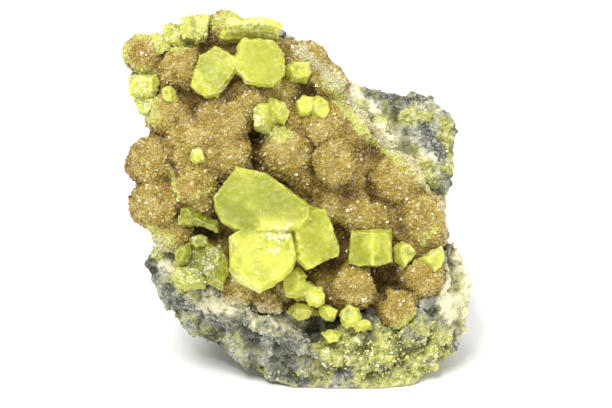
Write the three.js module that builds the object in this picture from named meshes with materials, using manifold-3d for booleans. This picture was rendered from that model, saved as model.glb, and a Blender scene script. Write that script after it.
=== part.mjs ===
// A hand specimen of native sulfur: lemon-yellow crystals on a honey-brown crust of
// ball-shaped druse, which fills a shallow vug in a broken lump of grey limestone.
//
// Millimetres, +Z up. The lump rests on a flat broken base, and the crystal face looks
// towards -Y and leans back. Everything is laid out in the leaning face's own frame:
// x runs across the face, y up it, and z out of it, from the front foot of the lump.
import * as THREE from "three";
import { ConvexGeometry } from "three/addons/geometries/ConvexGeometry.js";
import { mergeVertices } from "three/addons/utils/BufferGeometryUtils.js";
import Module from "manifold-3d";

const wasm = await Module();
wasm.setup();

// Driving dimensions
const LEAN = THREE.MathUtils.degToRad(20); // how far the crystal face leans back
const GAP = 0.3; // clearance between pieces that touch
const VUG_FLOOR = -5; // depth of the vug behind the foot, along z
const SHEET_FRONT = -1; // front of the sheet that the druse balls grow from, along z
const SHEET_CENTRE = new THREE.Vector3(-2, 44, 0); // middle of that sheet
const SHEET_REACH = 20; // from its middle to its nearer edges
const STUB_TAPER = 14; // slope of a small crystal's sides, in degrees
const BASE_CENTRE = new THREE.Vector3(6, 20, 0); // middle of the base, seen from the front foot
const FAR = 200; // longer than the whole lump

// Colours and finishes
const FINISH = {
  limestone: { color: 0x8d8f86, roughness: 0.92 },
  druse: { color: 0xa98a4b, roughness: 0.45 },
  sulfur: { color: 0xd2d73c, roughness: 0.28 },
};

// Solids -------------------------------------------------------------------------

function solidFrom(geometry) {
  const bare = geometry.index ? geometry.toNonIndexed() : geometry.clone();
  for (const name of Object.keys(bare.attributes)) {
    if (name !== "position") bare.deleteAttribute(name);
  }
  const merged = mergeVertices(bare, 1e-4);
  return new wasm.Manifold(
    new wasm.Mesh({
      numProp: 3,
      vertProperties: merged.attributes.position.array,
      triVerts: new Uint32Array(merged.index.array),
    }),
  );
}

function geometryFrom(solid) {
  const mesh = solid.getMesh();
  const corners = new Float32Array(mesh.numVert * 3);
  for (let i = 0; i < mesh.numVert; i++) {
    corners.set(mesh.vertProperties.subarray(i * mesh.numProp, i * mesh.numProp + 3), i * 3);
  }
  const geometry = new THREE.BufferGeometry();
  geometry.setAttribute("position", new THREE.BufferAttribute(corners, 3));
  geometry.setIndex(new THREE.BufferAttribute(mesh.triVerts, 1));
  geometry.computeVertexNormals();
  return geometry;
}

const join = (solids) => solids.reduce((sum, solid) => sum.add(solid));

// Cutting can leave crumbs behind: the piece is the largest body.
function largest(solid) {
  return solid.decompose().reduce((a, b) => (b.volume() > a.volume() ? b : a));
}

// The solid on the far side of a plane: normal points into what is taken away.
function halfSpace(normal, distance) {
  const box = new THREE.BoxGeometry(FAR, FAR, FAR);
  box.translate(0, 0, FAR / 2 + distance);
  const turn = new THREE.Quaternion().setFromUnitVectors(new THREE.Vector3(0, 0, 1), normal);
  return solidFrom(box.applyQuaternion(turn));
}

function lump(corners) {
  return solidFrom(new ConvexGeometry(corners.map((corner) => new THREE.Vector3(...corner))));
}

// Limestone ----------------------------------------------------------------------

// Corners of the convex lumps that make the broken block.
const BLOCK_LUMPS = {
  body: [
    [-29, 28, -2], [-31, 41, -4], [-29, 56, -4], [-15, 72, -5], [-3, 72, -5], [9, 61, -4],
    [24, 46, -3], [31, 32, -2], [33, 17, -3], [25, 1.5, -4], [10, -1, -3], [-6, 5, -3],
    [-18, 12, -4], [-22, 27, -24], [-26, 42, -23], [-22, 58, -19], [-11, 69, -16], [1, 67, -18],
    [15, 56, -24], [26, 42, -28], [29, 28, -33], [27, 9, -36], [10, 11, -39], [-8, 10, -36],
    [-17, 13, -30],
  ],
  shoulder: [
    [8.6, 64.6, -3], [15, 63, -6], [21, 62, -7], [27.4, 61.2, -8], [31.2, 58.9, -8], [33.4, 56, -9],
    [33.4, 52, -9], [31.3, 43, -7], [30.8, 38, -6], [18, 46, -1], [26, 38, -1],
    [14, 58, -20], [24, 56, -24], [30, 48, -24], [29, 36, -26],
  ],
  sill: [
    [-33, 25.4, -5], [-31.2, 21, -6], [-28.4, 16.8, -6], [-25.4, 12.6, -5], [-12.6, 4.2, -3],
    [-7.8, 1.8, -1.5], [-31, 30, -2], [-26, 26, 0], [-12, 17, 2], [2, 10, 3], [-1, -0.4, 0],
    [6, -0.8, 0], [-20, 24, -16], [4, 16, -16], [-24, 32, -14],
  ],
  foot: [
    [4, -0.5, 0], [17, -1, 0], [23.4, 0.4, -1], [30, 5, -4], [34.6, 8.6, -6], [36.2, 20.6, -5],
    [34.6, 27.4, -4], [32.6, 31.4, -1], [30, 20, 1.5], [22, 11, 4.5], [10, 8, 4.5], [2, 8, 3],
    [30, 12, -26], [10, 10, -26],
  ],
  crown: [
    [-35, 72, -3], [-36, 66, -3], [-34.5, 59, -3], [-29, 75, -5], [-21, 78, -5], [-12, 78.5, -6],
    [-4.5, 76, -6], [3, 71, -6], [8, 65, -5], [-30, 56, -12], [-24, 72, -13], [-6, 73, -13],
    [4, 64, -14], [-20, 52, -16],
  ],
};

// Druse --------------------------------------------------------------------------

// Each ball of the druse: x, y, z of its middle and its radius.
const DRUSE_BALLS = [
  [-32.8, 70.4, -0.5, 4], [-24.5, 66.5, -0.5, 5], [-27.5, 57.5, 0, 5], [-30.7, 47.4, -0.5, 5.3],
  [-29.8, 38.5, 0, 5.4], [-22, 51, 1.5, 6.5], [-16, 55.5, 1.5, 6.4], [-11.5, 59, 1, 5.5],
  [-22, 44, 1, 5.5], [-21, 38.5, 0, 4.4], [-14.5, 49, 0.5, 5.5], [-16, 75.4, -2.5, 3.6],
  [-2.7, 49.5, 1, 5.4], [7.8, 46.8, 2, 5], [12.8, 44.5, 0, 4.8], [20.4, 44, 0.5, 5.2],
  [25.4, 37, 0, 5], [27, 32.5, 0, 4.2], [13.5, 36.5, 0, 5], [6, 38.5, -0.5, 4.5],
  [20.4, 17, 2.5, 4.2], [25.6, 23.5, 0.5, 4.8], [11, 21.3, 0.5, 5.2], [5.7, 22.4, -1, 3.8],
  [4.5, 55, 0, 5.2], [10, 52.6, -0.5, 4.8], [-18.5, 62.6, -0.5, 4.8], [1.4, 69.2, -2, 3.8],
  [5.4, 64.6, -2, 3.8], [-13, 21.4, -1, 4], [-6, 19.7, -1, 4], [13, 27, -2, 4.5],
  [-3.5, 55.5, 0, 4.8], [-8.5, 43.5, -2, 4.5], [1.8, 43.6, -0.5, 4.6], [17.5, 35.5, -1.5, 4.6],
  [18.5, 29.5, -2, 4.4], [-26.6, 33.2, -1, 4.4], [22.6, 28.4, -1, 4.2], [-5, 63, -1.5, 5],
  [-29, 64, -1.5, 4.4],
];

// Outline of the sheet that the balls grow from.
const DRUSE_EDGE = [
  [-30, 32], [-31, 46], [-31, 60], [-30.5, 70], [-14, 76], [0, 72], [9, 62], [27, 42], [30, 32],
  [29, 20], [20, 13.5], [6, 16], [-14, 18],
];

// margin grows the druse, for the bed that it lies in.
function druseSolid(margin) {
  const spread = 1 + margin / SHEET_REACH;
  const sheet = DRUSE_EDGE.flatMap(([x, y]) => {
    const corner = new THREE.Vector3(x, y, 0).sub(SHEET_CENTRE);
    corner.multiplyScalar(spread).add(SHEET_CENTRE);
    return [SHEET_FRONT + margin, 2 * VUG_FLOOR].map((z) => [corner.x, corner.y, z]);
  });
  const balls = DRUSE_BALLS.map(([x, y, z, radius]) => {
    const ball = new THREE.IcosahedronGeometry(radius + margin, 1);
    return solidFrom(ball.translate(x, y, z));
  });
  const behind = halfSpace(new THREE.Vector3(0, 0, -1), -VUG_FLOOR + margin);
  return join([lump(sheet), ...balls]).subtract(behind);
}

// Sulfur crystals ----------------------------------------------------------------

// A tabular crystal: two broad faces, and a pair of bevelled faces along each side of its
// outline. at is its middle, tip turns it about x, swing about y and roll about z.
// Several plates that have grown together are one crystal group.
const plate = (at, [tip, swing, roll], thick, bevel, outline) => ({
  at,
  turn: new THREE.Euler(...[tip, swing, roll].map(THREE.MathUtils.degToRad), "ZYX"),
  thick,
  bevel: THREE.MathUtils.degToRad(bevel),
  outline,
});

// Gives a plate's front a ridge up it at x, from which it falls away left and right.
const ridged = (spec, x, left, right) => ({
  ...spec,
  ridge: { x, falls: [-left, right].map(THREE.MathUtils.degToRad) },
});

// The outline of a small blocky crystal: a rectangle with two of its corners cut away.
function blockOutline(width, height, cut) {
  const [w, h] = [width / 2, height / 2];
  return [
    [-w, -h + cut * 1.4], [-w + cut, -h], [w, -h * 0.9], [w * 0.9, h - cut], [w - cut * 1.5, h],
    [-w, h * 0.9],
  ];
}

// A small crystal, which narrows all the way from its root to its front.
const stub = (at, turn, thick, outline) => ({
  ...plate(at, turn, thick, STUB_TAPER, outline),
  rooted: true,
});

const block = (at, turn, width, height, thick, cut) =>
  stub(at, turn, thick, blockOutline(width, height, cut * Math.min(width, height)));

const CRYSTALS = {
  sulfur_centre_group: [
    plate([-7.6, 39, 8.8], [-8, -7, 0], 4, 14, [
      [-10.4, 0.7], [-7.6, 5], [-5.7, 7.4], [0.7, 6.1], [7.3, 1.4], [10.3, -0.9], [10.1, -3.6],
      [8.1, -6], [-2.5, -6.8], [-5.7, -6.2], [-8.7, -4.4], [-10.1, -1.9],
    ]),
    plate([3.2, 31.6, 7.4], [6, 16, -4], 4.4, 14, [
      [-5.4, 2], [-3.6, 5.6], [-0.7, 6.8], [1.3, 6.3], [2.7, 4.3], [3.8, 1.8], [5.2, -1.4],
      [5.2, -3.6], [2, -5.2], [-1.3, -7], [-4.1, -4.6],
    ]),
    plate([-7.7, 27, 11.2], [-22, 5, 0], 4.2, 14, [
      [-7, -2.2], [-5.7, -4.5], [-2.2, -6.7], [-0.8, -7.2], [4, -4.6], [6.3, -2.2], [7.2, 0.6],
      [6.8, 3.5], [6, 5.6], [1.8, 7.2], [-3.5, 6.8], [-6.9, 5],
    ]),
    block([-5.6, 33.6, 6], [-14, 2, 8], 13, 7, 9, 0.3),
  ],
  sulfur_square: [
    ridged(
      plate([15.1, 29.4, 4.8], [3, -2, 1], 6.4, 10, [
        [-5.1, -3.3], [-2.1, -3.8], [1.1, -3.9], [4.4, -3], [4.1, 4.1], [-4.3, 3.8], [-4.9, -0.4],
      ]),
      0.6, 13, 12,
    ),
  ],
  sulfur_beside_square: [
    stub([21.9, 28, 4.4], [-6, 14, 0], 3, [
      [-1.8, 1.7], [-0.2, 2.6], [1.2, 2.1], [2.3, 0.2], [1.3, -1.5], [-0.2, -2.7], [-1.6, -0.6],
    ]),
  ],
  sulfur_right: [
    stub([28, 27, 5.2], [-10, 16, 0], 3, [
      [-2.7, 0.3], [0.8, 2.1], [1.9, 2.6], [2.2, 0.6], [1.4, -1.6], [-0.2, -2.6], [-1.8, -1],
    ]),
  ],
  sulfur_lower_pair: [
    plate([-1, 22, 4.6], [-10, -16, 0], 4.2, 22, [
      [-2.5, 0.8], [-1.7, 2.6], [0.6, 3.5], [2.3, 1.7], [2.6, -0.8], [0.6, -3.5], [-1.8, -2.8],
      [-2.6, -0.8],
    ]),
    plate([3.1, 19.2, 5.2], [-12, 12, 0], 4, 18, [
      [-2.3, 1], [-0.6, 2.5], [1.6, 1.9], [2.5, 0.3], [2.1, -1.7], [0.4, -2.4], [-1.5, -1.9],
    ]),
    block([0.9, 20.6, 3.8], [-10, 0, 40], 4.4, 3, 3.4, 0.3),
  ],
  sulfur_under_pair: [
    stub([0.2, 15.8, 3.6], [26, 0, 0], 2.4, [
      [-2.6, -0.2], [-1, 1.7], [1.7, 1.4], [2.6, 0.6], [1.8, -0.9], [-0.6, -1.7],
    ]),
  ],
  sulfur_lower_wedge: [
    stub([6.2, 15.9, 4.2], [-8, 18, 0], 2.8, [
      [-1.6, 1.4], [-0.2, 1.4], [1.8, 0.4], [1, -1.3], [-0.5, -1.4], [-1.4, 0],
    ]),
  ],
  sulfur_lower_right: [
    plate([10.6, 15.2, 5], [-14, -4, 0], 3.6, 22, [
      [-2.1, 1.2], [-0.4, 2.5], [1.7, 1.7], [2.5, -0.3], [2, -2.1], [-0.8, -2.5], [-2.3, -1.2],
    ]),
    block([13.2, 13.5, 5], [-10, 24, 14], 3.2, 1.9, 2.4, 0.3),
  ],
  sulfur_sill: [
    stub([6.7, 10.8, 4.4], [16, 0, 0], 2.6, [
      [-1.9, 0.5], [0, 1.2], [1.9, 0.5], [1.4, -0.8], [-0.5, -1.3],
    ]),
  ],
  sulfur_left_wedge: [
    stub([-23.5, 36, 4.4], [4, -18, 0], 3, [
      [-1.8, 0], [-1.1, 1.8], [0.8, 2.1], [1.9, 0.3], [1.5, -1.9], [-1.9, -1.9],
    ]),
    block([-19.8, 34.7, 4.2], [20, 8, -21], 6.4, 1.9, 2.6, 0.3),
  ],
  sulfur_left_nest: [
    plate([-24.3, 28.3, 4], [-4, -24, 0], 3.4, 20, [
      [-1.8, 0.1], [-0.6, 1.8], [1.3, 2.3], [1.8, 0.1], [1, -2], [-0.2, -2.6], [-1.6, -1.6],
    ]),
    block([-21, 30.6, 3], [-12, 6, 10], 4, 3, 3, 0.3),
    plate([-17.4, 25.6, 4.8], [-10, 22, 0], 4, 20, [
      [-1.9, 4.3], [1, 4.5], [2.4, 1.7], [2.6, -1.8], [0.8, -5.1], [-1.7, -3.7], [-2.8, -1.1],
    ]),
    plate([-23.1, 23.3, 4], [-16, -10, 0], 4, 22, [
      [-4.3, 0.3], [-2.8, 2.2], [-0.3, 2.5], [2.4, 1.9], [4.1, -0.3], [3.3, -2.3], [-0.3, -2.8],
      [-2.8, -1.9],
    ]),
    block([-20.6, 26.4, 1.4], [-6, 0, 40], 9, 8, 4, 0.3),
  ],
  sulfur_top_pair: [
    plate([-17.4, 66, 5.8], [-10, -12, 0], 2.8, 16, [
      [-3.6, 3.4], [-4.8, 0.3], [-5, -2.8], [-4, -4.3], [-2.2, -5.6], [0.4, -5], [2.2, -2.9],
      [4.2, -0.1], [5.1, 2.4], [2.2, 4.6], [-0.3, 5.7],
    ]),
    plate([-7.8, 68, 5.6], [-12, 10, 0], 2.8, 16, [
      [-4.6, 5.1], [2.6, 5.1], [4.8, 1.3], [4.6, -2.5], [3.7, -4], [2.1, -5.2], [-0.6, -5.2],
      [-3.6, -4.3], [-6.4, -1.2],
    ]),
  ],
  sulfur_top_ledge: [
    plate([-10.4, 75.2, 2.4], [52, 3, 4], 1.9, 24, [
      [-6.8, -1.8], [-4, -3.6], [5.6, -3.2], [7, 0.6], [3, 3.4], [-4.8, 3],
    ]),
  ],
  sulfur_crown_cluster: [
    plate([-20.8, 75.8, 1], [-8, 8, 0], 4.8, 12, [
      [-2, 2.6], [1.8, 2.7], [1.9, 0.4], [1.1, -2.6], [-1, -3.6], [-2.2, -1],
    ]),
    block([-23.4, 75.2, 0.8], [6, -10, -6], 3.6, 4.6, 4, 0.3),
    block([-26.6, 73.8, 0.8], [-8, -12, -14], 4.6, 4.4, 4.2, 0.3),
    block([-29.6, 71.9, 0.4], [6, 14, 24], 5, 4.6, 4, 0.3),
  ],
  sulfur_left_edge: [
    plate([-32.6, 63, 2.2], [-8, -14, 0], 5, 18, [
      [-3.4, 1.4], [-2.4, 2.6], [2.6, 2.8], [3.3, 0.6], [2.6, -2.2], [-1.8, -3], [-3.2, -1.6],
    ]),
    plate([-32.2, 59.4, 1.6], [6, -12, 0], 4.4, 20, [
      [-3, 1.6], [2.6, 2], [2.6, -0.6], [1, -2.4], [-1.4, -2.2],
    ]),
  ],
  sulfur_on_ball: [block([-21.2, 48.8, 7.4], [0, 10, 6], 2.8, 3.4, 2.4, 0.24)],
  sulfur_upper_knot: [
    stub([-7.9, 56.9, 5], [-6, -16, 0], 4, [
      [-2.2, 1.6], [-0.8, 3], [1.6, 2.4], [2.1, -0.6], [1, -3], [-1.4, -2.6],
    ]),
    block([-4.4, 57.8, 4.4], [-10, 20, -24], 4.4, 4.6, 4, 0.32),
  ],
  sulfur_pale_discs: [
    stub([1.2, 59, 4], [-8, -10, 0], 3, [
      [-2, 1], [-0.6, 2.3], [1.6, 1.9], [2.1, -0.6], [0.8, -2.2], [-1.4, -1.9],
    ]),
    stub([4.2, 58.4, 4.6], [-6, 14, 0], 2.8, [
      [-1.8, 1.6], [0, 2.7], [1.8, 1.6], [2.1, -0.8], [0.7, -2.6], [-1.4, -1.4],
    ]),
  ],
  sulfur_top_right: [
    stub([-0.2, 66.4, 3], [-8, 12, 0], 3.4, [
      [-2.7, 0.6], [-1.2, 2.1], [2.2, 1.8], [2.7, -0.6], [1.6, -2], [-1.6, -1.8],
    ]),
  ],
  sulfur_upper_left_chip: [block([-27.4, 61.4, 5], [0, -20, 12], 2.4, 3.6, 2.4, 0.3)],
};

// Planes bound a plate at these normals and distances from its middle.
function plateFaces({ thick, bevel, outline, rooted, ridge = { x: 0, falls: [0] } }) {
  const faces = [[new THREE.Vector3(0, 0, -1), thick / 2]];
  for (const fall of ridge.falls) {
    const front = new THREE.Vector3(Math.sin(fall), 0, Math.cos(fall));
    faces.push([front, front.x * ridge.x + (front.z * thick) / 2]);
  }
  outline.forEach(([x, y], i) => {
    const [nextX, nextY] = outline[(i + 1) % outline.length];
    const side = new THREE.Vector2(nextY - y, x - nextX).normalize();
    const reach = side.x * x + side.y * y;
    const turned = Math.sign(reach);
    for (const slope of rooted ? [bevel] : [bevel, -bevel]) {
      const flat = Math.cos(slope) * turned;
      faces.push([
        new THREE.Vector3(side.x * flat, side.y * flat, Math.sin(slope)),
        Math.abs(reach) * Math.cos(slope),
      ]);
    }
  });
  return faces;
}

// margin grows the crystal, for the socket that it sits in.
function plateSolid(spec, margin) {
  const cuts = plateFaces(spec).map(([normal, distance]) => halfSpace(normal, distance + margin));
  const blank = solidFrom(new THREE.BoxGeometry(40, 40, 40));
  const place = new THREE.Matrix4().compose(
    new THREE.Vector3(...spec.at),
    new THREE.Quaternion().setFromEuler(spec.turn),
    new THREE.Vector3(1, 1, 1),
  );
  const cut = geometryFrom(blank.subtract(join(cuts)));
  return solidFrom(cut.applyMatrix4(place));
}

const crystalSolid = (plates, margin = 0) => join(plates.map((spec) => plateSolid(spec, margin)));

// Specimen -----------------------------------------------------------------------

const sockets = join(Object.values(CRYSTALS).map((plates) => crystalSolid(plates, GAP)));
const upwards = new THREE.Vector3(0, Math.cos(LEAN), Math.sin(LEAN));
const ground = halfSpace(upwards.clone().negate(), 0);

const druse = largest(druseSolid(0).subtract(sockets));
const limestone = largest(
  join(Object.values(BLOCK_LUMPS).map(lump))
    .subtract(druseSolid(GAP))
    .subtract(sockets)
    .subtract(ground),
);

function piece(name, solid, finish) {
  const mesh = new THREE.Mesh(
    geometryFrom(solid),
    new THREE.MeshStandardMaterial({ ...FINISH[finish], metalness: 0, flatShading: true }),
  );
  mesh.name = name;
  return mesh;
}

const face = new THREE.Group();
face.rotation.x = Math.PI / 2 - LEAN;
face.position.copy(BASE_CENTRE).negate();
face.add(piece("limestone_matrix", limestone, "limestone"));
face.add(piece("druse_crust", druse, "druse"));
for (const [name, plates] of Object.entries(CRYSTALS)) {
  face.add(piece(name, crystalSolid(plates), "sulfur"));
}

const specimen = new THREE.Group();
specimen.add(face);

export default specimen;
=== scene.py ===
import math

import bmesh
import bpy
import numpy as np
from mathutils import Matrix, Vector, noise


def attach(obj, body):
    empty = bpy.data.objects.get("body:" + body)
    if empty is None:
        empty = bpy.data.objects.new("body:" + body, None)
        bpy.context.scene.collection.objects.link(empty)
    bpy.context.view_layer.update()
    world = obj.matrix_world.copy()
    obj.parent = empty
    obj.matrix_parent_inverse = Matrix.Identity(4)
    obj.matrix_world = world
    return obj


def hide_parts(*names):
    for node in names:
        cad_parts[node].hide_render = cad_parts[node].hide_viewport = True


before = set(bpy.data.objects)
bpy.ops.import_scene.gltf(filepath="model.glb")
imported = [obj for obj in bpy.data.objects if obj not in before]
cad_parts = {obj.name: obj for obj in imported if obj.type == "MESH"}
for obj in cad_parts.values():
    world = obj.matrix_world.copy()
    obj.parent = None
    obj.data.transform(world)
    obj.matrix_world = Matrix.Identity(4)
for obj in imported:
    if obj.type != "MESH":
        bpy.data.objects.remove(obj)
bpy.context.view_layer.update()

bl_info = {
    "name": "Native Sulfur Specimen",
    "version": (1, 0, 0),
    "blender": (4, 5, 0),
    "location": "3D Viewport > Sidebar > Sulfur",
    "description": "Lemon-yellow sulfur crystals on honey-brown druse in grey limestone",
    "category": "Add Mesh",
}

MM = 0.001
LEAN = math.radians(20)  # how far the crystal face leans back
BASE_CENTRE = Vector((6, 20, 0))  # middle of the base, in mm from the front foot of the face

# From the leaning face's frame, in mm, to the specimen's own frame, in metres.
FACE = (
    Matrix.Scale(MM, 4)
    @ Matrix.Translation(-BASE_CENTRE)
    @ Matrix.Rotation(math.pi / 2 - LEAN, 4, "X")
)


# Sizes and colours ----------------------------------------------------------------

def colour(code):
    """A linear colour, with alpha, from an sRGB hex code."""
    channels = [int(code[i:i + 2], 16) / 255 for i in (1, 3, 5)]
    linear = [c / 12.92 if c <= 0.04045 else ((c + 0.055) / 1.055) ** 2.4 for c in channels]
    return (*linear, 1.0)


def length(name, description, millimetres):
    """A length property with its default in millimetres."""
    return bpy.props.FloatProperty(
        name=name, description=description, default=millimetres * MM,
        min=0.01 * MM, unit="LENGTH", precision=5,
    )


def paint(name, description, code):
    """A colour property with its default as an sRGB hex code."""
    return bpy.props.FloatVectorProperty(
        name=name, description=description, default=colour(code),
        size=4, min=0, max=1, subtype="COLOR",
    )


class SpecimenSizes(bpy.types.PropertyGroup):
    stone_grain: length("Stone Grain", "Mesh size of the limestone's skin", 0.45)
    stone_relief: length("Stone Relief", "Height of the limestone's broken relief", 0.9)
    druse_grain: length("Druse Grain", "Mesh size of the druse under its points", 0.42)
    druse_swell: length("Druse Swell", "How far the druse closes up round the crystals", 0.3)
    druse_fill: length("Druse Fill", "Half the width of the creases that the druse has filled", 0.5)
    point_spacing: length("Point Spacing", "Least distance between druse points", 0.42)
    point_length: length("Point Length", "Length of a middling druse point", 0.66)
    crystal_bevel: length("Crystal Bevel", "Width of the worn edge on a sulfur crystal", 0.12)
    plate_grain: length("Plate Grain", "Mesh size of the large tabular crystals", 0.18)
    block_grain: length("Block Grain", "Mesh size of the small blocky crystals", 0.12)
    rim_width: length("Rim Width", "Width of the pale rim round a crystal's faces", 0.5)
    crust_spacing: length("Crust Spacing", "Least distance between crust grains", 0.5)
    crust_grain: length("Crust Grain", "Width of a middling grain of sulfur crust", 0.75)


class SpecimenColours(bpy.types.PropertyGroup):
    stone_dark: paint("Stone Dark", "Freshly broken limestone", "#45463f")
    stone_body: paint("Stone Body", "Middling limestone", "#7d7e72")
    stone_light: paint("Stone Light", "Weathered limestone", "#b0b0a0")
    stone_bleached: paint("Stone Bleached", "Chalky band round the vug", "#f4ecc6")
    # Painted shade: the colour that the druse is darkened to at the bottom of its hollows.
    druse_painted_shade: paint("Druse Deep", "Druse at the bottom of its hollows", "#6e5220")
    druse_body: paint("Druse Body", "Druse on the crowns of its balls", "#b49b48")
    druse_clear: paint("Druse Clear", "The palest druse points", "#ddcc90")
    # Also the painted shade on the square crystal's left face.
    sulfur_deep: paint("Sulfur Deep", "Greenish depth of a thick crystal", "#92971c")
    sulfur_body: paint("Sulfur Body", "Lemon body of a crystal", "#afb120")
    sulfur_pale: paint("Sulfur Pale", "Cloudy veils in a crystal", "#c7c840")
    sulfur_small: paint("Sulfur Small", "Body of the small crystals, through which light gets",
                        "#d0d04c")
    # Both real and painted light: cloudy crystals are pale of themselves, and lit or thin crystals
    # are painted towards this colour too.
    sulfur_bright: paint("Sulfur Bright", "Thin or cloudy crystals, full of light", "#d6d85a")
    # Painted highlight: the crystals' rims and glint places are painted towards this colour, and
    # specks of it are strewn through their bodies.
    sulfur_glint: paint("Sulfur Glint", "Thin edges and freshly broken places", "#f0f0bc")


# Hands ----------------------------------------------------------------------------

def select_only(*pieces):
    """Selects these objects and nothing else, with the last one active."""
    bpy.ops.object.select_all(action="DESELECT")
    for piece in pieces:
        piece.select_set(True)
    bpy.context.view_layer.objects.active = pieces[-1]


def duplicate_of(source, name):
    """A copy of an object with its own mesh, no parent and no tags."""
    select_only(source)
    bpy.ops.object.duplicate()
    piece = bpy.context.object
    piece.name = name
    piece.data.name = name
    piece.parent = None
    for tag in list(piece.keys()):
        del piece[tag]
    return piece


def merged_copy(node, name):
    """A copy of a CAD node with its loose triangles merged. The node itself is left alone."""
    piece = duplicate_of(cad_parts[node], name)
    bpy.ops.object.mode_set(mode="EDIT")
    bpy.ops.mesh.select_all(action="SELECT")
    bpy.ops.mesh.remove_doubles(threshold=0.001 * MM)
    bpy.ops.mesh.dissolve_limited(angle_limit=math.radians(0.5))
    bpy.ops.object.mode_set(mode="OBJECT")
    return piece


def shape_by(piece, kind, **settings):
    """Adds one modifier with its settings and applies it."""
    modifier = piece.modifiers.new(kind.title(), kind)
    for name, value in settings.items():
        setattr(modifier, name, value)
    select_only(piece)
    bpy.ops.object.modifier_apply(modifier=modifier.name)


def add_node(tree, kind, inputs=None, **settings):
    """Adds a node with its settings. inputs maps sockets to values, or to outputs to link."""
    node = tree.nodes.new(kind)
    for name, value in settings.items():
        setattr(node, name, value)
    feed(tree, node, inputs or {})
    return node


def feed(tree, node, inputs):
    """Gives a node's sockets these values, or links them to these outputs."""
    for key, value in inputs.items():
        if isinstance(value, bpy.types.NodeSocket):
            tree.links.new(value, node.inputs[key])
        else:
            node.inputs[key].default_value = value


def arithmetic(tree, operation, *values):
    """The output of a Math node on one to three values or outputs."""
    return add_node(
        tree, "ShaderNodeMath", dict(enumerate(values)), operation=operation,
    ).outputs[0]


def per(millimetres):
    """A texture scale whose features measure this many millimetres."""
    return 1 / (millimetres * MM)


def finish_piece(piece, slot, material, *nodes):
    """Dresses a piece, ties it to the specimen and lets it stand for its CAD nodes."""
    piece.data.materials.clear()
    piece.data.materials.append(material)
    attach(piece, "root")
    if nodes:
        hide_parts(*nodes)


# Places on the face -----------------------------------------------------------------

STRIPS_END = -17  # how far behind the face, in mm, its stains and crusts reach


def vertex_places(piece):
    """Where the piece's vertices are, in metres."""
    places = np.empty(len(piece.data.vertices) * 3)
    piece.data.vertices.foreach_get("co", places)
    return places.reshape(-1, 3)


def face_places(piece):
    """Where the piece's vertices are in the leaning face's frame, in mm."""
    back = np.array(FACE.inverted())
    return vertex_places(piece) @ back[:3, :3].T + back[:3, 3]


def wander(places, size):
    """Smooth noise from -1 to 1 at each place, with features of size mm."""
    return np.array([noise.noise(Vector(place) / size) for place in places])


def spread_strips(piece, name, strips, floor=0.0):
    """Stores how far each vertex lies in the strips: 1 inside, fading to floor outside.

    A strip runs between two points of the face, in mm: x, y, x, y, its half width and
    its strength. Its edge is ragged, and it fades out towards the back of the lump.
    """
    places = face_places(piece)
    ragged = wander(places, 2.6) * 0.45 + wander(places, 0.9) * 0.25
    front = np.clip((places[:, 2] - STRIPS_END + 14 * ragged) / 5, 0, 1)
    cover = np.full(len(places), floor)
    for x0, y0, x1, y1, half, strength in strips:
        start = np.array([x0, y0])
        along = np.array([x1, y1]) - start
        offset = places[:, :2] - start
        reach = max(along @ along, 1e-9)
        share = np.clip(offset @ along / reach, 0, 1)[:, None]
        distance = np.linalg.norm(offset - share * along, axis=1) / half
        edge = np.clip(1.25 - distance + ragged, 0, 1)
        cover = np.maximum(cover, strength * edge * front)
    store(piece, name, cover)


def store(piece, name, values):
    """Stores one value for each vertex under this name."""
    stores = piece.data.attributes
    kept = stores.get(name) or stores.new(name, "FLOAT", "POINT")
    kept.data.foreach_set("value", np.asarray(values, np.float32))


def stored(piece, name):
    """The values that the piece's vertices store under this name."""
    values = np.empty(len(piece.data.vertices), np.float32)
    piece.data.attributes[name].data.foreach_get("value", values)
    return values


def mark_crowns(piece, crowns):
    """Stores how high each vertex lies on these balls' crowns: 1 at the top, 0 between them."""
    places = face_places(piece)
    ragged = 1 + 0.24 * wander(places, 2.2)
    height = np.zeros(len(places))
    for x, y, radius in crowns:
        distance = np.linalg.norm(places[:, :2] - (x, y), axis=1) / radius * ragged
        height = np.maximum(height, np.clip(1 - distance ** 2, 0, 1) ** 0.6)
    store(piece, "crown", height)


def mark_hollows(piece, cell, reach, depth):
    """Stores how far each vertex lies below the crowns within reach: 0 on them, 1 at depth. The
    druse's painted shade in its hollows is drawn from it.

    All are in mm, and cell is the size of the squares in which crowns are looked for.
    """
    places = face_places(piece)
    column, row = ((places[:, :2] - places[:, :2].min(axis=0)) / cell).astype(int).T
    crowns = np.full((column.max() + 1, row.max() + 1), places[:, 2].min())
    np.maximum.at(crowns, (column, row), places[:, 2])
    for spread in [np.max] * round(reach / cell) + [np.mean] * round(reach / cell):
        edged = np.pad(crowns, 1, mode="edge")
        shifted = [
            edged[i:i + crowns.shape[0], j:j + crowns.shape[1]] for i in range(3) for j in range(3)
        ]
        crowns = spread(shifted, axis=0)
    store(piece, "hollow", np.clip((crowns[column, row] - places[:, 2]) / depth, 0, 1))


def outer_edges(mesh, angle):
    """Both ends of each edge at which a crystal's faces turn outwards past this angle."""
    shape = bmesh.new()
    shape.from_mesh(mesh)
    edges = [
        [np.array(corner.co) for corner in edge.verts]
        for edge in shape.edges if edge.is_manifold and edge.calc_face_angle_signed() > angle
    ]
    shape.free()
    return edges


def mark_rims(piece, edges, **widths):
    """Stores how near each vertex is to these edges: 1 on an edge, 0 at width or farther.

    Each width is given by the name under which its values are stored.
    """
    places = vertex_places(piece)
    nearest = np.full(len(places), max(widths.values()))
    for start, end in edges:
        along = end - start
        share = np.clip((places - start) @ along / (along @ along), 0, 1)[:, None]
        nearest = np.minimum(nearest, np.linalg.norm(places - start - share * along, axis=1))
    for name, width in widths.items():
        store(piece, name, np.clip(1 - nearest / width, 0, 1))


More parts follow.
